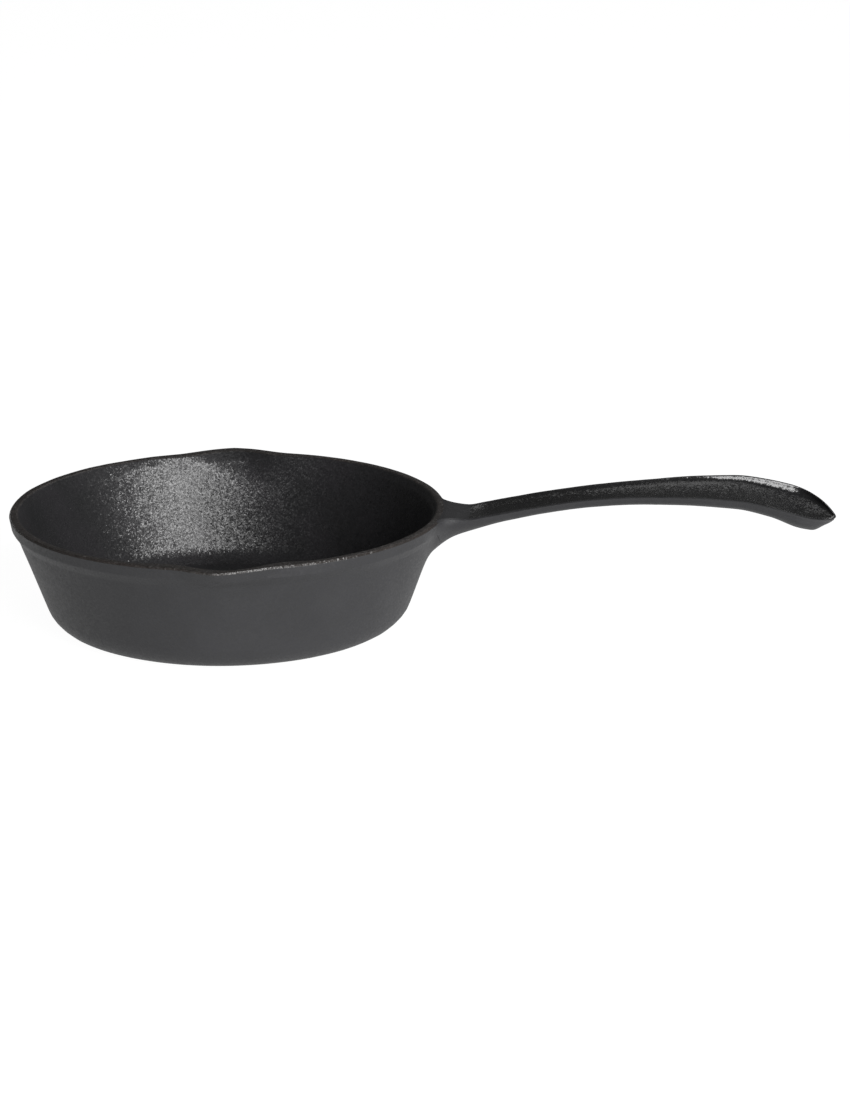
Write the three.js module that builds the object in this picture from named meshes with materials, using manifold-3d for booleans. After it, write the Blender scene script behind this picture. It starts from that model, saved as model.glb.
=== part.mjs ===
// Cast iron skillet: a small, deep frying pan with two pour spouts and a long arched handle.
//
// The real thing is one iron casting with no moving parts. The model holds that casting as the
// regions that a pattern maker names, each a closed solid: the pan base with its rounded corner,
// the slanted pan wall, the pouring rim with its thick lip and two spouts, and the handle. The
// three pan regions meet on level planes, and the handle's root follows the wall and the lip with
// a hair gap, so that no solid shares any space with another.
//
// Units are millimetres, +Z is up and +X runs along the handle. The origin is the centre of the
// flat base, on the surface that the skillet stands on.

import * as THREE from 'three';
import { mergeVertices } from 'three/addons/utils/BufferGeometryUtils.js';
import Module from 'manifold-3d';

// ---- driving dimensions ----

// pan
const RIM_RADIUS = 82.5; // outer edge of the lip
const PAN_HEIGHT = 44;
const BASE_RADIUS = 57; // edge of the flat that the pan stands on
const CORNER_RADIUS = 12.7; // outer corner between base and wall
const FLOOR_THICKNESS = 4.2;
const WALL_THICKNESS = 3.8;
const FLOOR_FILLET = 9; // inner corner between floor and wall

// lip: a land that stands straight, and a slope below it back to the wall
const LIP_LAND = 4.6;
const LIP_HEIGHT = 7.7;
const LIP_DEPTH = 2.9;
const LIP_DRAFT = 0.7; // how far the land leans in towards its foot
const RIM_FLAT = 3.2; // width of the ground top
const RIM_EDGE = 0.5; // broken outer edge of the ground top
const INNER_BEVEL = 3; // height of the eased inner edge

// pour spouts, one each side of the handle's line
const SPOUT_REACH = 6.3; // how far the rim's edge is drawn out
const SPOUT_DEPTH = 12.5; // how far below the rim the spout fades into the wall
const CHANNEL_REACH = 4.6; // how far the channel inside is pressed into the wall
const CHANNEL_HALF_ANGLE = 11.5; // degrees, to either side of the channel's middle

// Each spout's point and channel, in degrees from the handle's line, and how many degrees the
// swell takes on each side of the point. They sit where the pattern has them, not quite square.
const SPOUTS = [
  { point: 94.5, before: 16.5, after: 16.5, channel: 94 },
  { point: -87, before: 12, after: 17, channel: -84.5 },
];

// the level planes that part the pan's regions
const BASE_TOP = 11;
const RIM_BOTTOM = 31;

// handle, by distance from the pan's centre line
const HANDLE_START = 74;
const HANDLE_END = 229.5;
const ROOT_FILLET = 7.4; // in plan, between the rim and the handle's edges
const ROOT_GAP = 0.3; // hair gap between the handle's root and the pan

// mesh fineness
const PAN_SEGMENTS = 120;
const ARC_STEPS = 5;
const ROOT_STATIONS = 14;
const HANDLE_STATIONS = 66;
const TROUGH_STEPS = 8;
const BELLY_STEPS = 7;

const { degToRad, lerp, smoothstep } = THREE.MathUtils;

// ---- shared helpers ----

// Points along a circular arc, as [radius, height] pairs, from one angle to another in degrees.
function arc(centreR, centreZ, radius, from, to, steps) {
  const points = [];
  for (let i = 0; i <= steps; i++) {
    const angle = degToRad(lerp(from, to, i / steps));
    points.push([centreR + radius * Math.cos(angle), centreZ + radius * Math.sin(angle)]);
  }
  return points;
}

// The radius at which an outline of [radius, height] pairs, in rising order, crosses a height.
function radiusAt(outline, height) {
  for (let i = 1; i < outline.length; i++) {
    const [r0, z0] = outline[i - 1];
    const [r1, z1] = outline[i];
    if (z1 >= height && z1 > z0) return lerp(r0, r1, (height - z0) / (z1 - z0));
  }
  return outline[outline.length - 1][0];
}

// The stretch of a rising outline between two heights, with its ends cut exactly at them.
function stretch(outline, low, high) {
  const inside = outline.filter(([, z]) => z > low + 0.05 && z < high - 0.05);
  return [[radiusAt(outline, low), low], ...inside, [radiusAt(outline, high), high]];
}

// A closed solid turned about Z from an outline of [radius, height] pairs.
function turned(outline) {
  const profile = outline.map(([r, z]) => new THREE.Vector2(r, z));
  const geometry = new THREE.LatheGeometry(profile, PAN_SEGMENTS);
  return geometry.rotateX(Math.PI / 2);
}

function onlyPositions(geometry) {
  geometry.deleteAttribute('normal');
  geometry.deleteAttribute('uv');
  return mergeVertices(geometry, 1e-4);
}

// ---- pan outlines ----

const WALL_TOP = [RIM_RADIUS - LIP_DEPTH, PAN_HEIGHT - LIP_HEIGHT];
const CORNER_CENTRE = [BASE_RADIUS, CORNER_RADIUS];

// Angle, in degrees, at which a straight wall to `top` leaves the arc around `centre`.
function tangentAngle(centre, radius, top) {
  const across = top[0] - centre[0];
  const rise = top[1] - centre[1];
  const reach = Math.hypot(across, rise);
  return THREE.MathUtils.radToDeg(Math.atan2(rise, across) - Math.acos(radius / reach));
}

// The outside, from the edge of the flat base to the outer edge of the rim's top.
function outerOutline() {
  const leave = tangentAngle(CORNER_CENTRE, CORNER_RADIUS, WALL_TOP);
  return [
    ...arc(...CORNER_CENTRE, CORNER_RADIUS, -90, leave, ARC_STEPS + 3),
    WALL_TOP,
    [RIM_RADIUS - LIP_DRAFT, PAN_HEIGHT - LIP_LAND],
    [RIM_RADIUS, PAN_HEIGHT - RIM_EDGE],
    [RIM_RADIUS - RIM_EDGE, PAN_HEIGHT],
  ];
}

// The inside, from the floor's edge to the inner edge of the rim's flat top.
function innerOutline() {
  const wallFoot = [BASE_RADIUS + CORNER_RADIUS - WALL_THICKNESS - 1.5, FLOOR_THICKNESS + FLOOR_FILLET];
  const lean = degToRad(-tangentAngle(CORNER_CENTRE, CORNER_RADIUS, WALL_TOP));
  const headHeight = PAN_HEIGHT - INNER_BEVEL;
  const offset = (headHeight - WALL_TOP[1]) * Math.tan(lean) - WALL_THICKNESS / Math.cos(lean);
  const wallHead = [WALL_TOP[0] + offset, headHeight];
  const centre = [wallFoot[0] - FLOOR_FILLET, FLOOR_THICKNESS + FLOOR_FILLET];
  const leave = tangentAngle(centre, FLOOR_FILLET, wallHead);
  const top = [RIM_RADIUS - RIM_FLAT, PAN_HEIGHT];
  const bevel = new THREE.QuadraticBezierCurve(
    new THREE.Vector2(...wallHead),
    new THREE.Vector2(lerp(wallHead[0], top[0], 0.6), PAN_HEIGHT - 0.6),
    new THREE.Vector2(...top),
  );
  const eased = bevel.getPoints(ARC_STEPS).map((p) => [p.x, p.y]);
  return [...arc(...centre, FLOOR_FILLET, -90, leave, ARC_STEPS + 1), ...eased];
}

const OUTER = outerOutline();
const INNER = innerOutline();

// ---- pan regions ----

// Degrees from one direction to another, between -180 and 180.
function turnBetween(from, to) {
  return THREE.MathUtils.euclideanModulo(to - from + 180, 360) - 180;
}

// How far the outside is drawn out at an angle and height: a smooth swell that fades below the rim.
function outerSwell(spout, angle, down) {
  const off = turnBetween(spout.point, angle);
  const halfAngle = off < 0 ? spout.before : spout.after;
  const along = Math.max(0, 1 - Math.abs(off) / halfAngle);
  return SPOUT_REACH * smoothstep(along, 0, 1) * Math.pow(1 - down, 1.5);
}

// How far the inside is pressed out there: a rounded channel that runs down from the rim.
function innerSwell(spout, angle, down) {
  const off = Math.abs(turnBetween(spout.channel, angle));
  const along = Math.max(0, 1 - off / CHANNEL_HALF_ANGLE);
  return CHANNEL_REACH * smoothstep(along, 0, 1) * Math.pow(1 - down, 1.5);
}

function drawSpouts(geometry) {
  const position = geometry.attributes.position;
  for (let i = 0; i < position.count; i++) {
    const x = position.getX(i);
    const y = position.getY(i);
    const z = position.getZ(i);
    const r = Math.hypot(x, y);
    const angle = THREE.MathUtils.radToDeg(Math.atan2(y, x));
    const down = THREE.MathUtils.clamp((PAN_HEIGHT - z) / SPOUT_DEPTH, 0, 1);
    const swell = r < radiusAt(OUTER, z) - WALL_THICKNESS / 2 ? innerSwell : outerSwell;
    const total = SPOUTS.reduce((sum, spout) => sum + swell(spout, angle, down), 0);
    const scale = 1 + total / r;
    position.setXYZ(i, x * scale, y * scale, z);
  }
  return geometry;
}

function panBaseShape() {
  const outer = stretch(OUTER, 0, BASE_TOP);
  const inner = stretch(INNER, FLOOR_THICKNESS, BASE_TOP).reverse();
  return onlyPositions(turned([[0, 0], ...outer, ...inner, [0, FLOOR_THICKNESS]]));
}

function panWallShape() {
  const outer = stretch(OUTER, BASE_TOP, RIM_BOTTOM);
  const inner = stretch(INNER, BASE_TOP, RIM_BOTTOM).reverse();
  return onlyPositions(turned([...outer, ...inner, outer[0]]));
}

function pouringRimShape() {
  const outer = stretch(OUTER, RIM_BOTTOM, PAN_HEIGHT);
  const inner = stretch(INNER, RIM_BOTTOM, PAN_HEIGHT).reverse();
  const ring = turned([...outer, ...inner, outer[0]]);
  return onlyPositions(drawSpouts(ring));
}

// ---- handle ----

// A smooth rule through a few [distance from the centre, value] pairs.
function ruleThrough(pairs) {
  const curve = new THREE.SplineCurve(pairs.map(([along, value]) => new THREE.Vector2(along, value)));
  const points = curve.getPoints(400);
  return (along) => {
    const next = points.findIndex((p) => p.x >= along);
    if (next <= 0) return next === 0 ? points[0].y : points[points.length - 1].y;
    const a = points[next - 1];
    const b = points[next];
    return lerp(a.y, b.y, (along - a.x) / (b.x - a.x));
  };
}

// height of the handle's edges above the rim's top: a slight sag at the root, then a long arch
const edgeHeight = ruleThrough([
  [74, 0], [82, -0.3], [91, -0.8], [97, 0.2], [106, 2.0], [120, 4.7], [140, 7.6], [160, 9.2],
  [178, 9.9], [192, 9.6], [204, 7.7], [216, 4.6], [224, 1.8], [229.5, -1],
]);

// half of the handle's width, on the shank and as far as the shoulders of its end
const shankHalfWidth = ruleThrough([
  [92, 11.3], [104, 11.5], [130, 11.2], [150, 12.2], [170, 15.1], [190, 18.5], [206, 21], [214, 22],
]);

// depth of the underside below the edges, along the middle
const bellyDepth = ruleThrough([
  [74, 20], [77.5, 16.6], [84.5, 10.8], [92, 7.1], [106, 5.1], [125, 4.7], [145, 4.8], [160, 5.2],
  [190, 6.2], [204, 6.8], [214, 8.4], [220, 8], [225, 4.4], [229.5, 1.4],
]);

// depth of the trough along the handle's top
const troughDepth = ruleThrough([
  [74, 0.05], [89, 0.05], [97, 1.2], [110, 1.9], [160, 2.2], [190, 3], [205, 4.2], [214, 4.6], [221, 3.2],
  [229.5, 0.3],
]);

// height of the upright side below the edge: as tall as the lip at the root, then a thin edge
const sideHeight = ruleThrough([
  [74, 4.6], [80, 4.6], [86, 3.6], [92, 2.5], [100, 1.6], [160, 1.5], [214, 1.5], [229.5, 1.4],
]);

const SHANK_START = 92; // the root's fillets have run out before this
const SHOULDER = 214; // the pointed end starts here
const TIP_HALF_WIDTH = 1.5;

// Half of the root's width: an arc that is tangent to the rim's circle and to the shank's edge.
function rootHalfWidth(along) {
  const edge = shankHalfWidth(SHANK_START);
  const filletEnd = Math.sqrt((RIM_RADIUS + ROOT_FILLET) ** 2 - (edge + ROOT_FILLET) ** 2);
  const back = THREE.MathUtils.clamp(filletEnd - along, 0, ROOT_FILLET);
  return edge + ROOT_FILLET - Math.sqrt(ROOT_FILLET ** 2 - back ** 2);
}

function halfWidth(along) {
  if (along < SHANK_START) return rootHalfWidth(along);
  if (along > SHOULDER) {
    const on = (along - SHOULDER) / (HANDLE_END - SHOULDER);
    return lerp(TIP_HALF_WIDTH, shankHalfWidth(SHOULDER), Math.pow(1 - on * on, 0.7));
  }
  return shankHalfWidth(along);
}

const EDGE_FLAT = 1.5; // level strip beside the trough
const TROUGH_WALL = 0.72; // the share of the trough's depth that its steep sides take
const WALL_SHARPNESS = 0.7; // how sharply the sides turn into the bottom, per millimetre of half width
const WEB_HALF_WIDTH = 11.5; // the root's underside is a web no wider than the shank

// Depth of the trough at a place across it, from -1 to 1: steep sides and a gently sagging bottom.
function troughDip(along, half, across) {
  const sides = 1 - Math.pow(Math.abs(across), WALL_SHARPNESS * half);
  const bottom = 1 - across * across;
  return Math.max(troughDepth(along) * lerp(bottom, sides, TROUGH_WALL), 0);
}

// One cross-section, as a closed loop of [y, z] pairs: across the trough, then under the belly.
function handleSection(along) {
  const half = halfWidth(along);
  const top = PAN_HEIGHT + edgeHeight(along);
  const flat = Math.min(EDGE_FLAT, half * 0.4);
  const side = Math.min(sideHeight(along), bellyDepth(along) * 0.35);
  const loop = [[-half, top]];
  for (let i = 0; i <= TROUGH_STEPS; i++) {
    const across = lerp(-1, 1, i / TROUGH_STEPS);
    loop.push([across * (half - flat), top - troughDip(along, half, across)]);
  }
  loop.push([half, top]);
  const web = along < SHANK_START ? Math.min(half, WEB_HALF_WIDTH) : half;
  for (let i = 0; i <= BELLY_STEPS; i++) {
    const angle = Math.PI * (i / BELLY_STEPS);
    const round = Math.sin(angle);
    const reach = lerp(half, web, Math.min(1, 1.5 * round));
    loop.push([reach * Math.cos(angle), top - side - (bellyDepth(along) - side) * round]);
  }
  return loop;
}

// Where a cross-section stands: close together in the root, then evenly out to the tip.
function stationPlace(station) {
  if (station <= ROOT_STATIONS) return lerp(HANDLE_START, SHANK_START, station / ROOT_STATIONS);
  return lerp(SHANK_START, HANDLE_END, (station - ROOT_STATIONS) / (HANDLE_STATIONS - ROOT_STATIONS));
}

// The handle lofted through its sections, closed flat at both ends.
function handleBlank() {
  const vertices = [];
  const triangles = [];
  let count = 0;
  for (let station = 0; station <= HANDLE_STATIONS; station++) {
    const along = stationPlace(station);
    const loop = handleSection(along);
    count = loop.length;
    loop.forEach(([y, z]) => vertices.push(along, y, z));
  }
  for (let station = 0; station < HANDLE_STATIONS; station++) {
    for (let i = 0; i < count; i++) {
      const a = station * count + i;
      const b = station * count + ((i + 1) % count);
      triangles.push(a, b + count, b, a, a + count, b + count);
    }
  }
  closeEnd(vertices, triangles, 0, count, true);
  closeEnd(vertices, triangles, HANDLE_STATIONS * count, count, false);
  const geometry = new THREE.BufferGeometry();
  geometry.setAttribute('position', new THREE.Float32BufferAttribute(vertices, 3));
  geometry.setIndex(triangles);
  return geometry;
}

// Fill one end of the loft with a fan of triangles about a point inside its section.
function closeEnd(vertices, triangles, first, count, facingPan) {
  const middle = new THREE.Vector3();
  for (let i = 0; i < count; i++) {
    middle.add(new THREE.Vector3().fromArray(vertices, 3 * (first + i)));
  }
  middle.divideScalar(count);
  const centre = vertices.length / 3;
  vertices.push(...middle.toArray());
  for (let i = 0; i < count; i++) {
    const face = [centre, first + i, first + ((i + 1) % count)];
    triangles.push(...(facingPan ? face : face.reverse()));
  }
}

// The pan's envelope, swollen by the hair gap, to cut the handle's root to the pan.
function panEnvelope() {
  const swollen = OUTER.map(([r, z]) => [r + ROOT_GAP, z]);
  const above = PAN_HEIGHT + 2;
  const last = swollen[swollen.length - 1];
  const outline = [[0, 0], ...swollen.slice(0, -1), [last[0] + RIM_EDGE, above], [0, above]];
  return onlyPositions(turned(outline));
}

// ---- solids by boolean cut ----

const wasm = await Module();
wasm.setup();

function toManifold(geometry) {
  const mesh = new wasm.Mesh({
    numProp: 3,
    vertProperties: new Float32Array(geometry.attributes.position.array),
    triVerts: new Uint32Array(geometry.index.array),
  });
  return new wasm.Manifold(mesh);
}

function toGeometry(solid) {
  const mesh = solid.getMesh();
  const geometry = new THREE.BufferGeometry();
  geometry.setAttribute('position', new THREE.BufferAttribute(mesh.vertProperties, 3));
  geometry.setIndex(new THREE.BufferAttribute(mesh.triVerts, 1));
  return geometry;
}

function handleShape() {
  return toGeometry(toManifold(handleBlank()).subtract(toManifold(panEnvelope())));
}

// ---- material ----

function seasonedIron() {
  return new THREE.MeshStandardMaterial({ color: 0x2b2a2b, roughness: 0.62, metalness: 0.6 });
}

// ---- assembly ----

function named(name, geometry) {
  geometry.computeVertexNormals();
  const mesh = new THREE.Mesh(geometry, seasonedIron());
  mesh.name = name;
  return mesh;
}

const skillet = new THREE.Group();
skillet.name = 'cast_iron_skillet';
skillet.add(
  named('pan_base', panBaseShape()),
  named('pan_wall', panWallShape()),
  named('pouring_rim', pouringRimShape()),
  named('handle', handleShape()),
);

export default skillet;
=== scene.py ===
"""A small cast iron skillet: one sand casting with slanted walls, two pour spouts and a long arched handle.

The casting is modelled as one unbroken skin, then parted along the same lines as the CAD model:
base, wall, pouring rim and handle. Lengths are in metres and the handle points along +X.
"""
import math

import bpy
import numpy as np
from mathutils import Matrix, Vector, noise


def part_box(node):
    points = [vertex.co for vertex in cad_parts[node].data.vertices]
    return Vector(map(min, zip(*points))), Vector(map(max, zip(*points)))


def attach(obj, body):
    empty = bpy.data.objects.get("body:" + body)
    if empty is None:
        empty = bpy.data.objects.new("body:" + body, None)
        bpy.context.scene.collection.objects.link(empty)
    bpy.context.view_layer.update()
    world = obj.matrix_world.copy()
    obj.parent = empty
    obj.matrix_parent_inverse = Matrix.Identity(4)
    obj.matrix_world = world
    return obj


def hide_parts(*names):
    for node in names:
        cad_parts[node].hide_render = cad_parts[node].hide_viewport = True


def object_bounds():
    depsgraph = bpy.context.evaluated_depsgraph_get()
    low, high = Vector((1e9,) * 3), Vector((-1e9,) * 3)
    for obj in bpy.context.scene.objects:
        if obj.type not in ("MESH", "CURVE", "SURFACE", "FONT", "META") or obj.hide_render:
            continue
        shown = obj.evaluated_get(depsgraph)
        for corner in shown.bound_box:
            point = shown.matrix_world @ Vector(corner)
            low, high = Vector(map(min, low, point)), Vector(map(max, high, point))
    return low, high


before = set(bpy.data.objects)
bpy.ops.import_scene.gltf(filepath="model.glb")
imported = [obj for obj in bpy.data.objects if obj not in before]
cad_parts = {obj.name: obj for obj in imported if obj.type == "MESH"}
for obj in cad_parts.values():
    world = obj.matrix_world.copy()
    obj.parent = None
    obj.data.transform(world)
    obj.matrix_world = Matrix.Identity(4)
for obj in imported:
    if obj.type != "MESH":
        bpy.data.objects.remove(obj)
cad_low, cad_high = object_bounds()


# ---------------------------------------------------------------------------------------------
# Camera. A long lens looks down on the skillet from the front, a little from the handle's side,
# and is held very nearly level.
MM = 0.001
camera_azimuth = math.radians(3.5)
camera_elevation = math.radians(16.36)
camera_roll = math.radians(0.36)
camera_distance = 1497 * MM
camera_lens = 128.1  # with a sensor 36 mm wide
aim_right = 1.23 * MM  # from the middle of the skillet
aim_down = 0.98 * MM

toward_camera = Vector((
    math.sin(camera_azimuth) * math.cos(camera_elevation),
    -math.cos(camera_azimuth) * math.cos(camera_elevation),
    math.sin(camera_elevation),
))
camera_right = Vector((math.cos(camera_azimuth), math.sin(camera_azimuth), 0))
camera_up = toward_camera.cross(camera_right)
middle = (Vector(cad_low) + Vector(cad_high)) / 2
aim = middle + camera_right * aim_right - camera_up * aim_down

camera_data = bpy.data.cameras.new("camera")
camera_data.lens = camera_lens
camera_data.sensor_width = 36
camera_data.clip_end = 50
camera = bpy.data.objects.new("camera", camera_data)
bpy.context.scene.collection.objects.link(camera)
facing = Matrix((camera_right, camera_up, toward_camera)).transposed().to_4x4()
camera.matrix_world = (
    Matrix.Translation(aim + toward_camera * camera_distance)
    @ facing
    @ Matrix.Rotation(-camera_roll, 4, "Z")
)
bpy.context.scene.camera = camera


# ---------------------------------------------------------------------------------------------
# Pan. Iron poured into green sand: a flat base, a wall that leans out, a thick lip and a rim that
# is ground level. Its outline is drawn once, from the middle of the underside out, up, over the
# rim and back down to the middle of the floor, and turned about the pan's centre line.
_, base_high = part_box("pan_base")
rim_low, rim_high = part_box("pouring_rim")
rim_radius = -rim_low.x
pan_height = rim_high.z
corner_radius = 12.7 * MM
wall_lean = math.radians(20.2)
floor_thickness = 4.2 * MM
wall_thickness = 3.8 * MM
floor_fillet = 10 * MM
lip_land = 4.6 * MM
lip_height = 7.7 * MM
lip_depth = 2.9 * MM
land_draft = 0.7 * MM  # how far the land leans in towards its foot
chamfer_width = 0.6 * MM
chamfer_height = 0.8 * MM
rim_flat = 3.2 * MM
bevel_height = 3 * MM
axis_gap = 1.5 * MM  # the outline stops this far from the centre line and a fan closes it

COLUMNS = 720  # of the net, round the pan


def rounded_path(corners):
    """Points along a line through corners (r, z, fillet radius, spacing to the next corner)."""
    points = [np.array(corners[0][:2])]
    for before, here, after in zip(corners, corners[1:], corners[2:]):
        p, q, s = (np.array(c[:2]) for c in (before, here, after))
        into, out = (q - p) / np.linalg.norm(q - p), (s - q) / np.linalg.norm(s - q)
        turn = math.acos(np.clip(into @ out, -1, 1))
        side = np.sign(into[0] * out[1] - into[1] * out[0])
        setback = here[2] * math.tan(turn / 2)
        start = q - into * setback
        steps = max(1, round(np.linalg.norm(start - points[-1]) / before[3]))
        points += [points[-1] + (start - points[-1]) * (k + 1) / steps for k in range(steps)]
        centre = start + here[2] * side * np.array((-into[1], into[0]))
        arc_steps = max(3, round(math.degrees(turn) / 9))
        for k in range(1, arc_steps + 1):
            a = side * turn * k / arc_steps
            arm = start - centre
            points.append(centre + np.array((
                arm[0] * math.cos(a) - arm[1] * math.sin(a),
                arm[0] * math.sin(a) + arm[1] * math.cos(a),
            )))
    last = np.array(corners[-1][:2])
    steps = max(1, round(np.linalg.norm(last - points[-1]) / corners[-2][3]))
    first = points[-1]
    points += [first + (last - first) * (k + 1) / steps for k in range(steps)]
    return np.array(points)


wall_top_r = rim_radius - lip_depth
wall_top_z = pan_height - lip_height
foot_r = wall_top_r - wall_top_z * math.tan(wall_lean)
inner_top_r = rim_radius - rim_flat
inner_foot_r = foot_r - wall_thickness / math.cos(wall_lean) + floor_thickness * math.tan(wall_lean)
bevel_z = pan_height - bevel_height
bevel_r = inner_foot_r + (bevel_z - floor_thickness) * math.tan(wall_lean)

profile = rounded_path([
    (axis_gap, 0, 0, 2.2 * MM),
    (foot_r, 0, corner_radius, 0.8 * MM),
    (wall_top_r, wall_top_z, 4 * MM, 0.35 * MM),
    (rim_radius - land_draft, pan_height - lip_land, 1.6 * MM, 0.45 * MM),
    (rim_radius, pan_height - chamfer_height, 0.25 * MM, 0.3 * MM),
    (rim_radius - chamfer_width, pan_height, 0.25 * MM, 0.4 * MM),
    (inner_top_r, pan_height, 1.4 * MM, 0.35 * MM),
    (bevel_r, bevel_z, 5 * MM, 0.7 * MM),
    (inner_foot_r, floor_thickness, floor_fillet, 2.2 * MM),
    (axis_gap, floor_thickness, 0, 1),
])
RINGS = len(profile)

# The rings that bound the regions: lip_ring is the land's lower edge, edge_ring the outer edge
# of the ground flat, and the rest are where the base, wall and rim part.
edge_ring = int(np.nonzero(profile[:, 1] > pan_height - 1e-7)[0][0])
lip_ring = int(np.argmin(abs(profile[:edge_ring, 1] - (pan_height - lip_land))))
going_in = np.arange(RINGS) > edge_ring


def ring_at(height, inner):
    """The ring nearest to a height on the inside or the outside of the pan."""
    off = abs(profile[:, 1] - height) + np.where(going_in == inner, 0, 1)
    return int(np.argmin(off))


base_out, base_in = ring_at(base_high.z, False), ring_at(base_high.z, True)
wall_out, wall_in = ring_at(rim_low.z, False), ring_at(rim_low.z, True)

theta = np.arange(COLUMNS) * 2 * math.pi / COLUMNS
radius = np.repeat(profile[:, :1], COLUMNS, axis=1)
height = np.repeat(profile[:, 1:], COLUMNS, axis=1)


def smooth(t):
    """An even step that eases from 0 at t = 0 to 1 at t = 1."""
    t = np.clip(t, 0, 1)
    return t * t * (3 - 2 * t)


# Pour spouts, pressed into the pattern. Outside, the rim is drawn out to a blunt point that fades
# down the wall. Inside, a rounded channel runs down between two cheeks, which thicken the rim.
spout_reach = 6.3 * MM
spout_depth = 12.5 * MM
bluntness = 0.75  # 1 for a spout rounded at its point, 0 for a sharp one
outer_narrowing = 0.45  # the share of its width that the spout loses on its way down
outer_fade = 1.4  # the power by which it dies away below the rim
channel_reach = 4.6 * MM
channel_half_width = 11.5  # degrees, like all the angles of the spouts
channel_narrowing = 0.35
channel_fade = 1.1
cheek_place = 16
cheek_half_width = 9

# Each spout: the angle of its point, the angles it takes before and after that, the angle of its
# channel, how far the channel drifts round on its way down, and how thick its cheeks are.
SPOUTS = (
    (94.5, 16.5, 16.5, 94, -6, 1.2 * MM),
    (-87, 12, 17, -84.5, 0, 2.5 * MM),
)


def turn_from(angle):
    """Degrees round the pan from an angle to each column, between -180 and 180."""
    return (np.degrees(theta) - angle + 180) % 360 - 180


inner_edge_ring = ring_at(pan_height - 0.3 * MM, True)
inward = smooth((np.arange(RINGS) - edge_ring) / (inner_edge_ring - edge_ring))[:, None]
down = np.clip((pan_height - height) / spout_depth, 0, 1)
for point, before, after, channel, drift, cheek in SPOUTS:
    off = turn_from(point)
    outer_width = np.where(off < 0, before, after) * (1 - outer_narrowing * down)
    along = np.clip(1 - abs(off) / outer_width, 0, 1)
    outline = bluntness * smooth(along) + (1 - bluntness) * along**2
    swell = spout_reach * outline * (1 - down) ** outer_fade
    off = abs(turn_from(channel + drift * down))
    channel_width = channel_half_width * (1 - channel_narrowing * down)
    hollow = channel_reach * smooth(1 - off / channel_width) * (1 - down) ** channel_fade
    cheeks = cheek * smooth(1 - abs(off - cheek_place) / cheek_half_width) * (1 - down) ** 2
    radius = radius + swell * (1 - inward) + (hollow - cheeks) * inward


# ---------------------------------------------------------------------------------------------
# Handle. Part of the same casting: it leaves the rim in a flat web, with a deep rib below, and
# runs out as a trough with a rounded belly, arching up and then down to a scooped, pointed end.
_, handle_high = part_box("handle")
tip_x = handle_high.x
tip_half_width = 0.3 * MM
SECTOR = 24  # columns on each side of the handle's line that its root takes up
root_angle = 2 * math.pi * SECTOR / COLUMNS
shank_half_width = 11.3 * MM
root_fillet = (rim_radius * math.sin(root_angle) - shank_half_width) / (1 - math.sin(root_angle))
fillet_x = (rim_radius + root_fillet) * math.cos(root_angle)
shoulder_x = 214 * MM  # the pointed end starts here


def rule(pairs):
    """A smooth curve through (distance, value) pairs in millimetres, without overshoot."""
    x, y = np.array(pairs, float).T
    step = np.diff(x)
    slope = np.diff(y) / step
    tangent = np.zeros(len(x))
    same = slope[:-1] * slope[1:] > 0
    tangent[1:-1][same] = 2 * (slope[:-1] * slope[1:] / (slope[:-1] + slope[1:] + 1e-12))[same]
    tangent[0], tangent[-1] = slope[0], slope[-1]

    def value(along):
        at = np.clip(np.asarray(along, float) / MM, x[0], x[-1])
        i = np.clip(np.searchsorted(x, at, side="right") - 1, 0, len(x) - 2)
        t = (at - x[i]) / step[i]
        a, b = 2 * t**3 - 3 * t**2 + 1, t**3 - 2 * t**2 + t
        c, d = -2 * t**3 + 3 * t**2, t**3 - t**2
        return (a * y[i] + b * step[i] * tangent[i] + c * y[i + 1] + d * step[i] * tangent[i + 1]) * MM

    return value


edge_rise = rule([
    (83, 0), (86, -0.3), (91, -0.8), (97, 0.2), (106, 2.0), (120, 4.7), (140, 7.6), (160, 9.2),
    (178, 9.9), (192, 9.6), (204, 7.7), (216, 4.6), (224, 1.8), (229.5, -1),
])
half_width = rule([
    (92, 11.3), (104, 11.4), (130, 11.2), (150, 12.2), (170, 15.1), (190, 18.5), (206, 21), (214, 22),
])
belly = rule([
    (70, 25), (74, 20), (77.5, 16.6), (84.5, 10.8), (92, 7.1), (106, 5.1), (125, 4.7), (145, 4.8),
    (160, 5.2), (190, 6.2), (204, 6.8), (214, 8.4), (220, 8), (225, 4.4), (229.5, 1.4),
])
trough_dip = rule([
    (89.5, 0), (91.5, 1.2), (110, 1.9), (160, 2.3), (190, 3.4), (205, 4.6), (214, 5.2), (221, 4.3),
    (229.5, 0.3),
])
side_height = rule([(80, 4.6), (86, 3.6), (92, 2.5), (100, 1.6), (214, 1.5), (224, 1.1), (229.5, 0.5)])
# The section under the handle, in thousandths of a power: a bell at the root, then half an ellipse.
belly_power = rule([(80, 1200), (86, 1000), (98, 500), (229.5, 500)])

trough_wall = 0.6  # the share of the trough's depth that its steep sides take
trough_edge = 1.3 * MM  # the level strip beside the trough
TROUGH_COLUMNS = 20  # columns on each side of the middle that lie in the trough
scoop_start = 89 * MM
scoop_length = 9 * MM
flare_start = 176 * MM  # from here the sides of the trough stand steeper
flare_length = 14 * MM


def half_width_at(x):
    """Half of the handle's width: the rule as far as the shoulders, then in to the tip."""
    on = np.clip((x - shoulder_x) / (tip_x - shoulder_x), 0, 1)
    return half_width(x) * (1 - on**2) ** 0.7 + tip_half_width * on


def under(x, across):
    """Height of the handle's underside, across being 0 on its middle line and 1 at its edge."""
    side = side_height(x)
    round_ = np.clip(1 - across**2, 0, 1) ** (belly_power(x) / MM / 1000)
    return pan_height + edge_rise(x) - side - (belly(x) - side) * round_


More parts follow.
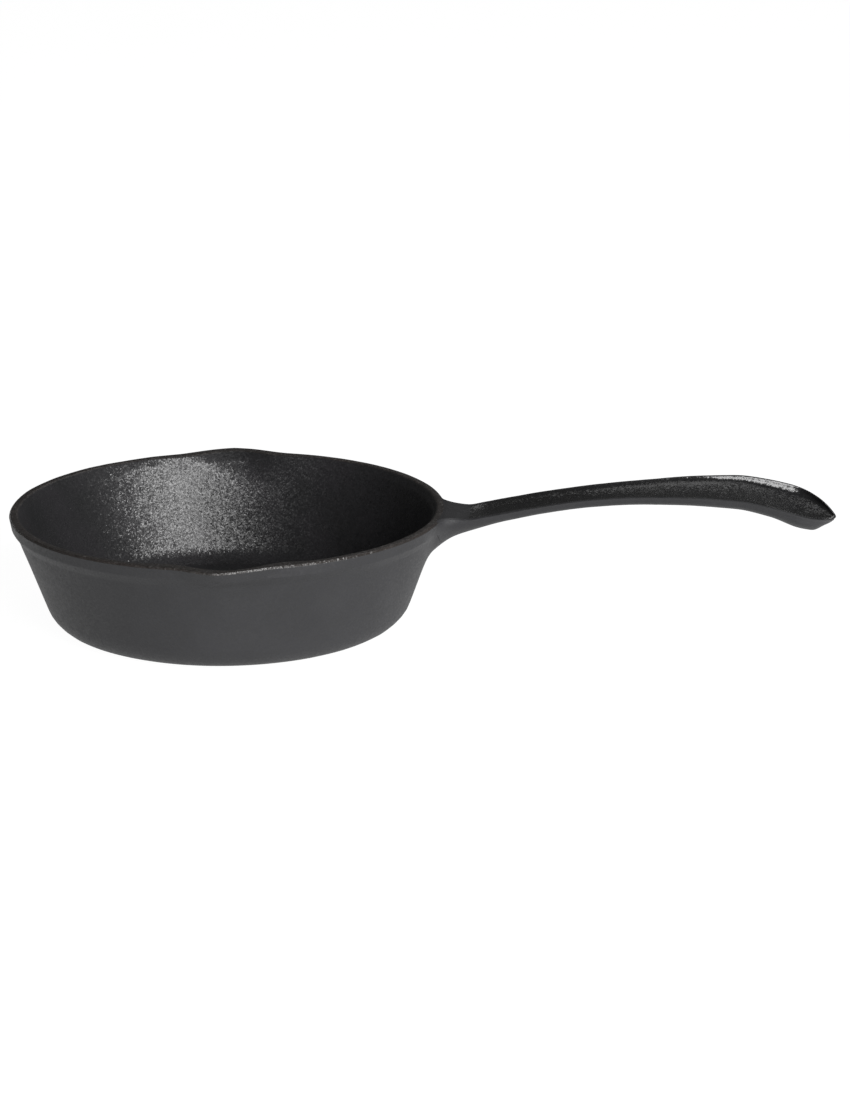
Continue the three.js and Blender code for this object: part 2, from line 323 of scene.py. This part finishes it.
def over(x, across, half):
    """Height of the handle's top: a level edge and a trough that starts in a rounded scoop."""
    nose = smooth((x - scoop_start) / scoop_length) ** 0.5
    reach = np.clip((half - trough_edge) * nose, 0.5 * MM, None)
    v = np.clip(across * half / reach, 0, 1)
    steep = smooth((x - flare_start) / flare_length)
    sides = (1 - v ** ((0.7 + 0.2 * steep) * half / MM)) ** (1 - 0.5 * steep)
    section = trough_wall * sides + (1 - trough_wall) * (1 - v**2)
    return pan_height + edge_rise(x) - trough_dip(x) * section


# Where the rib meets the pan, the underside of wall and lip sinks to the rib, with a soft blend.
join_blend = 2.5 * MM
join_reach = 1.4  # how far round the blend may go, in widths of the root
beyond_rib = 8 * MM  # how fast the rib's underside rises once past the root
far_above = 1  # a height that leaves the pan alone
sector = (theta + math.pi) % (2 * math.pi) - math.pi
across_root = abs(sector) / root_angle
for ring in range(lip_ring + 1):
    x = radius[ring] * np.cos(sector)
    rib = under(x, np.clip(across_root, 0, 1)) + beyond_rib * np.clip(across_root - 1, 0, None)
    rib = np.where((across_root < join_reach) & (x > 60 * MM), rib, far_above)
    blend = join_blend * np.clip((rim_radius - radius[ring]) / (3 * MM), 0.02, 1)
    share = np.clip(0.5 + 0.5 * (rib - height[ring]) / blend, 0, 1)
    height[ring] = rib * (1 - share) + height[ring] * share - blend * share * (1 - share)
inside_root = across_root < 1 - 1e-6
for ring in range(lip_ring + 1, edge_ring):
    part = (profile[ring, 1] - profile[lip_ring, 1]) / (pan_height - profile[lip_ring, 1])
    lowered = height[lip_ring] + (pan_height - height[lip_ring]) * part
    height[ring] = np.where(inside_root, lowered, height[ring])

pan_points = np.stack((radius * np.cos(theta), radius * np.sin(theta), height), axis=2)

# The handle's outline in plan: round the root fillet, then along the shank to the tip.
fillet_turn = np.linspace(root_angle, math.pi / 2, 16)[1:]
fillet_plan = [
    (fillet_x - root_fillet * math.cos(a), shank_half_width + root_fillet - root_fillet * math.sin(a))
    for a in fillet_turn
]
station_gap = 1 * MM
shank_x = np.arange(fillet_x + station_gap, shoulder_x, station_gap)
end_x = shoulder_x + (tip_x - shoulder_x) * np.sin(np.linspace(0, math.pi / 2, 26))
plan = fillet_plan + [(x, float(half_width_at(x))) for x in np.concatenate((shank_x, end_x))]
plan = np.array([(rim_radius * math.cos(root_angle), rim_radius * math.sin(root_angle))] + plan)
along_plan = np.gradient(plan, axis=0)
plan_normal = np.stack((-along_plan[:, 1], along_plan[:, 0]), axis=1)
plan_normal /= np.linalg.norm(plan_normal, axis=1)[:, None]

# One loop of points per station: under the belly from -Y to +Y, up the +Y side, back across the
# top and down the -Y side. The first loop is the pan's own points around the root.
band = profile[lip_ring:edge_ring + 1] - (rim_radius, pan_height)
columns = np.arange(-SECTOR, SECTOR + 1)
t = columns / SECTOR
root_sag = rim_radius * (1 - math.cos(root_angle))
bulge_length = 9 * MM  # the first loop's curve, which is the rim's, straightens out over this
crowd_length = 22 * MM  # and over this the points gather where the section turns most


def station(k):
    """The loop of points around the handle at one point of its plan."""
    x0, y0 = plan[k]
    nx, ny = plan_normal[k]
    bulge = root_sag * (1 - smooth((x0 - plan[0, 0]) / bulge_length))
    lift = edge_rise(x0)
    squeeze = side_height(x0) / lip_land
    side_x = x0 + nx * band[:, 0]
    side_y = np.clip(y0 + ny * band[:, 0], 0.05 * MM, None)
    side_z = pan_height + lift + band[:, 1] * squeeze
    crowd = smooth((x0 - plan[0, 0]) / crowd_length)
    low_crowd = 0.8 * crowd
    u = t * (1 - low_crowd) + np.sin(t * math.pi / 2) * low_crowd  # closer towards the edges
    low_x, low_y = side_x[0] + bulge * (1 - u**2), side_y[0] * u
    half = side_y[-1]
    brink = max(1 - trough_edge / half, 0.5)
    across_trough = np.clip(columns / TROUGH_COLUMNS, -1, 1)
    beside = (abs(columns) - TROUGH_COLUMNS).clip(0) / (SECTOR - TROUGH_COLUMNS) * np.sign(columns)
    v = np.sin(across_trough * math.pi / 2) * brink + beside * (1 - brink)  # closest on the sides
    v = t * (1 - crowd) + v * crowd
    top_x, top_y = side_x[-1] + bulge * (1 - v**2), half * v
    low_z = under(low_x, abs(u))
    low_z[[0, -1]] = side_z[0]
    top_z = over(top_x, abs(v), half)
    top_z[[0, -1]] = side_z[-1]
    low = np.stack((low_x, low_y, low_z), axis=1)
    top = np.stack((top_x, top_y, top_z), axis=1)[::-1]
    up = np.stack((side_x, side_y, side_z), axis=1)[1:-1]
    down = (up * (1, -1, 1))[::-1]
    return np.vstack((low, up, top, down))


STATIONS = len(plan)
loops = np.array([station(k) for k in range(1, STATIONS)])


# ---------------------------------------------------------------------------------------------
# The skin. Pan and handle are joined into one net of quads, so that the iron flows from one to
# the other, and the whole of it gets the slight waviness that a sand mould leaves.
pan_count = RINGS * COLUMNS
underside_centre, floor_centre = pan_count, pan_count + 1
first_loop = pan_count + 2
LOOP = loops.shape[1]
tip_centre = first_loop + loops.shape[0] * LOOP
points = np.vstack((
    pan_points.reshape(-1, 3),
    [(0, 0, 0)],
    [(0, 0, floor_thickness)],
    loops.reshape(-1, 3),
    [loops[-1].mean(axis=0)],
))


def pan_id(ring, column):
    """The number of a point of the pan."""
    return ring * COLUMNS + column % COLUMNS


def pan_faces(first, last):
    """Quads between rings first and last, as an array of rings by columns by 4."""
    ring = np.arange(first, last)[:, None]
    column = np.arange(COLUMNS)[None, :]
    return np.stack((
        pan_id(ring, column), pan_id(ring, column + 1),
        pan_id(ring + 1, column + 1), pan_id(ring + 1, column),
    ), axis=2)


root_loop = np.concatenate((
    pan_id(lip_ring, columns),
    pan_id(np.arange(lip_ring + 1, edge_ring), SECTOR),
    pan_id(edge_ring, columns[::-1]),
    pan_id(np.arange(lip_ring + 1, edge_ring)[::-1], -SECTOR),
))
loop_ids = np.vstack((root_loop, first_loop + np.arange(loops.shape[0] * LOOP).reshape(-1, LOOP)))
a, b = loop_ids[:-1], loop_ids[1:]
handle_skin = np.stack((a, np.roll(a, -1, 1), np.roll(b, -1, 1), b), axis=2).reshape(-1, 4)
tip_fan = np.stack((
    loop_ids[-1], np.roll(loop_ids[-1], -1), np.full(LOOP, tip_centre), np.full(LOOP, tip_centre),
), axis=1)
in_root = (np.arange(COLUMNS) < SECTOR) | (np.arange(COLUMNS) >= COLUMNS - SECTOR)
band_faces = pan_faces(lip_ring, edge_ring)
root_faces = band_faces[:, in_root].reshape(-1, 4)
column = np.arange(COLUMNS)
underside_fan = np.stack((
    np.full(COLUMNS, underside_centre), np.full(COLUMNS, underside_centre),
    pan_id(0, column + 1), pan_id(0, column),
), axis=1)
floor_fan = np.stack((
    pan_id(RINGS - 1, column), pan_id(RINGS - 1, column + 1),
    np.full(COLUMNS, floor_centre), np.full(COLUMNS, floor_centre),
), axis=1)


def flat_quads(first, last):
    """The same quads as one plain list."""
    return pan_faces(first, last).reshape(-1, 4)


rim_skin = np.vstack((
    flat_quads(wall_out, lip_ring), band_faces[:, ~in_root].reshape(-1, 4), flat_quads(edge_ring, wall_in),
))
wall_skin = np.vstack((flat_quads(base_out, wall_out), flat_quads(wall_in, base_in)))
base_skin = np.vstack((flat_quads(0, base_out), underside_fan, flat_quads(base_in, RINGS - 1), floor_fan))
skin = np.vstack((rim_skin, wall_skin, base_skin, handle_skin, tip_fan))


def vertex_normals(vertices, faces):
    """Unit normals of the points, weighted by the area of the faces around each."""
    corners = vertices[faces]
    normal = np.cross(corners[:, 2] - corners[:, 0], corners[:, 3] - corners[:, 1])
    total = np.zeros_like(vertices)
    for k in range(4):
        np.add.at(total, faces[:, k], normal)
    length = np.linalg.norm(total, axis=1)[:, None]
    return total / np.where(length > 0, length, 1)


# On the pattern the rib is faired into the pan by hand. Here the join is relaxed until it flows.
edges = np.vstack([skin[:, [k, (k + 1) % 4]] for k in range(4)])
edges = edges[edges[:, 0] != edges[:, 1]]
neighbours = np.bincount(edges[:, 0], minlength=len(points)) + np.bincount(edges[:, 1], minlength=len(points))
fairing = (
    smooth((points[:, 0] - 68 * MM) / (6 * MM)) * smooth((106 * MM - points[:, 0]) / (10 * MM))
    * smooth((pan_height - 0.9 * MM - points[:, 2]) / (1.5 * MM))
    * smooth((30 * MM - abs(points[:, 1])) / (6 * MM))
)[:, None]
fairing[pan_id(edge_ring, 0):first_loop] = 0  # the inside of the pan stays as it is
fairing[neighbours == 0] = 0  # so do the points hidden in the handle's root
FAIRING_PASSES = 60
fairing_step = 0.6
for _ in range(FAIRING_PASSES):
    total = np.stack([
        np.bincount(edges[:, 0], points[edges[:, 1], axis], len(points))
        + np.bincount(edges[:, 1], points[edges[:, 0], axis], len(points))
        for axis in range(3)
    ], axis=1)
    points = points + fairing * fairing_step * (total / np.maximum(neighbours, 1)[:, None] - points)

normals = vertex_normals(points, skin)
WAVINESS = ((70, 0.10 * MM), (260, 0.025 * MM))  # waves to the metre, and how high they are
waves = np.array([
    sum(noise.noise(Vector(p) * density) * size for density, size in WAVINESS) for p in points
])
settled = np.clip(points[:, 2] / (1.5 * MM), 0, 1)  # the base is left flat where it stands
points = points + normals * (waves * settled)[:, None]

# A small sand hole under the front spout.
hole_place = np.array((4.4, -85.5, 39.3)) * MM
hole_reach = np.array((1.9, 6, 0.8)) * MM
hole_depth = 0.55 * MM
away = np.linalg.norm((points - hole_place) / hole_reach, axis=1)
on_front = normals[:, 1] < -0.5
points = points - normals * (hole_depth * smooth(1 - away) * on_front)[:, None]
normals = vertex_normals(points, skin)


# ---------------------------------------------------------------------------------------------
# Finishes. All of it is sand-cast iron under oil baked on until it is hard and black. It shines as
# that film does, not as bare metal. How it was made differs: as cast, left pebbled, or ground.
def linear(hex_colour):
    """An sRGB hex colour as linear red, green, blue and alpha."""
    channels = [int(hex_colour[k:k + 2], 16) / 255 for k in (1, 3, 5)]
    return [c / 12.92 if c <= 0.04045 else ((c + 0.055) / 1.055) ** 2.4 for c in channels] + [1]


def node(tree, kind, settings=None, links=None, **inputs):
    """Adds a node: settings are its own, links come from other sockets, inputs are set by name."""
    made = tree.nodes.new(kind)
    for name, value in (settings or {}).items():
        setattr(made, name, value)
    for name, value in inputs.items():
        made.inputs[name.replace("_", " ")].default_value = value
    for name, socket in (links or {}).items():
        tree.links.new(socket, made.inputs[name])
    return made


def iron(name, dark, light, ior, roughness, spread, grain_size, grain_tilt, glint_size, glint_tilt):
    """Seasoned cast iron: grain and glint have a size in millimetres and a tilt of the surface.

    Each is a facet left by a grain of sand, and each glint also has its own gloss. Moulding sand is
    about 0.2 mm, too fine to show, so the glints are drawn twice as coarse and the grains four times.
    """
    material = bpy.data.materials.new(name)
    material.use_nodes = True
    tree = material.node_tree
    tree.nodes.clear()
    place = node(tree, "ShaderNodeTexCoord").outputs["Object"]
    cloud = node(tree, "ShaderNodeTexNoise", links={"Vector": place}, Scale=45, Detail=5)
    tone = node(
        tree, "ShaderNodeMapRange", links={"Value": cloud.outputs["Fac"]},
        From_Min=0.35, From_Max=0.65,
    )
    colour = node(tree, "ShaderNodeMix", {"data_type": "RGBA"})
    tree.links.new(tone.outputs["Result"], colour.inputs[0])
    colour.inputs[6].default_value = linear(dark)
    colour.inputs[7].default_value = linear(light)
    grain = node(tree, "ShaderNodeTexVoronoi", links={"Vector": place}, Scale=1 / (grain_size * MM))
    glint = node(tree, "ShaderNodeTexVoronoi", links={"Vector": place}, Scale=1 / (glint_size * MM))
    rough = node(
        tree, "ShaderNodeMapRange", links={"Value": glint.outputs["Color"]},
        To_Min=roughness - spread, To_Max=roughness + spread,
    )
    direction = node(tree, "ShaderNodeNewGeometry").outputs["Normal"]
    for texture, tilt in ((grain, grain_tilt), (glint, glint_tilt)):
        centred = node(tree, "ShaderNodeVectorMath", {"operation": "SUBTRACT"}, {0: texture.outputs["Color"]})
        centred.inputs[1].default_value = (0.5, 0.5, 0.5)
        turned = node(
            tree, "ShaderNodeVectorMath", {"operation": "MULTIPLY_ADD"},
            {0: centred.outputs["Vector"], 2: direction},
        )
        turned.inputs[1].default_value = (tilt, tilt, tilt)
        direction = turned.outputs["Vector"]
    unit = node(tree, "ShaderNodeVectorMath", {"operation": "NORMALIZE"}, {0: direction})
    surface = node(
        tree, "ShaderNodeBsdfPrincipled",
        links={
            "Base Color": colour.outputs[2],
            "Roughness": rough.outputs["Result"],
            "Normal": unit.outputs["Vector"],
        },
        IOR=ior,
    )
    node(tree, "ShaderNodeOutputMaterial", links={"Surface": surface.outputs["BSDF"]})
    return material


# As cast, with a dry, thin film: a matt charcoal grey that shows hardly any grain.
outside_iron = iron("seasoned_sand_cast_iron", "#1a1a1c", "#1f1f21", 1.44, 0.62, 0.04, 0.9, 0.14, 0.5, 0.1)
# Pebbled and oiled well: nearly black, with a broad sheen that breaks up into fine bright points.
inside_iron = iron("seasoned_pebbled_iron", "#171718", "#1d1c1e", 1.5, 0.41, 0.17, 0.8, 0.16, 0.42, 0.33)
# The same in the trough, rubbed smoother by hands: black, and glossy where a side faces the light.
trough_iron = iron("seasoned_trough_iron", "#121213", "#171717", 1.5, 0.27, 0.08, 0.8, 0.12, 0.42, 0.28)
# Ground level, then oiled: the coarse scratches catch the light in short dashes, on a brownish black.
ground_iron = iron("ground_and_seasoned_iron", "#1d1a19", "#262220", 1.5, 0.42, 0.14, 0.8, 0.3, 0.42, 0.4)


# ---------------------------------------------------------------------------------------------
# The four regions as closed pieces. Each takes its share of the skin, and is closed where the
# next one carries on by a face inside the metal, so that no seam shows on the outside.
def piece(name, skin_faces, skin_finish, cap_faces, cad_node):
    """A closed solid of skin and caps; the skin is shaded as part of the whole casting."""
    faces = np.vstack((skin_faces, cap_faces))
    used, local = np.unique(faces, return_inverse=True)
    local = local.reshape(faces.shape)
    mesh = bpy.data.meshes.new(name)
    polygons = []
    corner_ids = []
    for face, world in zip(local.tolist(), faces.tolist()):
        keep = [k for k in range(4) if face[k] != face[k - 1]]
        polygons.append([face[k] for k in keep])
        corner_ids.append([world[k] for k in keep])
    mesh.from_pydata(points[used].tolist(), [], polygons)
    mesh.update()
    mesh.polygons.foreach_set("use_smooth", [True] * len(polygons))
    for material in (outside_iron, inside_iron, ground_iron, trough_iron):
        mesh.materials.append(material)
    finish = np.zeros(len(polygons), np.int32)
    finish[:len(skin_faces)] = skin_finish
    mesh.polygons.foreach_set("material_index", finish)
    corner_normals = []
    for index, ids in enumerate(corner_ids):
        if index < len(skin_faces):
            corner_normals += normals[ids].tolist()
        else:
            corner_normals += [tuple(mesh.polygons[index].normal)] * len(ids)
    mesh.normals_split_custom_set(corner_normals)
    made = bpy.data.objects.new(name, mesh)
    bpy.context.scene.collection.objects.link(made)
    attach(made, "root")
    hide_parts(cad_node)
    return made


OUTSIDE, INSIDE, GROUND, TROUGH = range(4)
chamfer_ring = ring_at(pan_height - chamfer_height, False)


def finish_of(faces):
    """Which finish each face of the pan has, from the ring it starts on."""
    ring = np.min(faces, axis=1) // COLUMNS
    finish = np.where(ring >= inner_edge_ring, INSIDE, OUTSIDE)
    finish = np.where((ring >= chamfer_ring) & (ring < inner_edge_ring), GROUND, finish)
    return np.where(faces.max(axis=1) == underside_centre, OUTSIDE, finish)


def across_metal(outer, inner):
    """Quads that close the pan between an outer and an inner ring, facing up."""
    return np.stack((
        pan_id(outer, column), pan_id(outer, column + 1), pan_id(inner, column + 1), pan_id(inner, column),
    ), axis=1)


base_cap = across_metal(base_out, base_in)
wall_cap = across_metal(wall_out, wall_in)
piece("cast_base", base_skin, finish_of(base_skin), base_cap, "pan_base")
piece("cast_wall", wall_skin, finish_of(wall_skin), np.vstack((base_cap[:, ::-1], wall_cap)), "pan_wall")
piece("cast_rim", rim_skin, finish_of(rim_skin), np.vstack((wall_cap[:, ::-1], root_faces)), "pouring_rim")

handle_faces = np.vstack((handle_skin, tip_fan))
place_in_loop = np.tile(np.arange(LOOP), STATIONS - 1)
across_top = 2 * SECTOR + 1 + (edge_ring - lip_ring - 1)
on_top = (place_in_loop >= across_top) & (place_in_loop < across_top + 2 * SECTOR)
top_t = abs(place_in_loop - across_top - SECTOR + 0.5) / SECTOR
at_station = np.repeat(np.arange(STATIONS - 1), LOOP)
gloss_start = 91 * MM  # in the trough
edge_gloss_start = 112 * MM  # on the level strips beside it
station_x = plan[at_station, 0]
scooped = (station_x > gloss_start) & (top_t < TROUGH_COLUMNS / SECTOR)
in_trough = on_top & (scooped | (station_x > edge_gloss_start))
handle_finish = np.concatenate((
    np.where(in_trough, TROUGH, OUTSIDE), np.full(LOOP, OUTSIDE),
))
piece("cast_handle", handle_faces, handle_finish, root_faces[:, ::-1], "handle")


# ---------------------------------------------------------------------------------------------
# Studio. A glowing white table runs on under a dim room. A large soft box stands at the front right
# and shines on the pan's far wall, and a weak one hangs behind and above.
def quad(name, size, place, material):
    """A level square on the stage."""
    mesh = bpy.data.meshes.new(name)
    w = size / 2
    mesh.from_pydata([(-w, -w, 0), (w, -w, 0), (w, w, 0), (-w, w, 0)], [], [(0, 1, 2, 3)])
    made = bpy.data.objects.new(name, mesh)
    made.location = place
    mesh.materials.append(material)
    bpy.context.scene.collection.objects.link(made)
    return made


paper = bpy.data.materials.new("white_paper")
paper.use_nodes = True
tree = paper.node_tree
tree.nodes.clear()
sheet = node(tree, "ShaderNodeBsdfPrincipled", Base_Color=linear("#484848"), Roughness=0.9)
sheet.inputs["Emission Color"].default_value = linear("#ffffff")
sheet.inputs["Emission Strength"].default_value = 0.97
node(tree, "ShaderNodeOutputMaterial", links={"Surface": sheet.outputs["BSDF"]})
quad("floor", 30, (0, 0, -0.1 * MM), paper)


def soft_box(name, azimuth, elevation, distance, size, power):
    """A square area light that faces the pan from an angle round it and above the table."""
    data = bpy.data.lights.new(name, "AREA")
    data.size = size
    data.energy = power
    made = bpy.data.objects.new(name, data)
    a, e = math.radians(azimuth), math.radians(elevation)
    away = Vector((math.cos(a) * math.cos(e), math.sin(a) * math.cos(e), math.sin(e)))
    target = Vector((0.05, 0, 0.03))
    made.location = target + away * distance
    made.rotation_euler = away.to_track_quat("Z", "Y").to_euler()
    bpy.context.scene.collection.objects.link(made)
    return made


soft_box("key", -58, 22, 1.8, 1.3, 74)
soft_box("back", 68, 52, 1.6, 0.9, 3)

world = bpy.data.worlds.new("studio")
world.use_nodes = True
tree = world.node_tree
tree.nodes.clear()
sky = node(tree, "ShaderNodeBackground", Color=linear("#ffffff"), Strength=0.07)
node(tree, "ShaderNodeOutputWorld", links={"Surface": sky.outputs["Background"]})
bpy.context.scene.world = world
bpy.context.scene.view_settings.view_transform = "Standard"
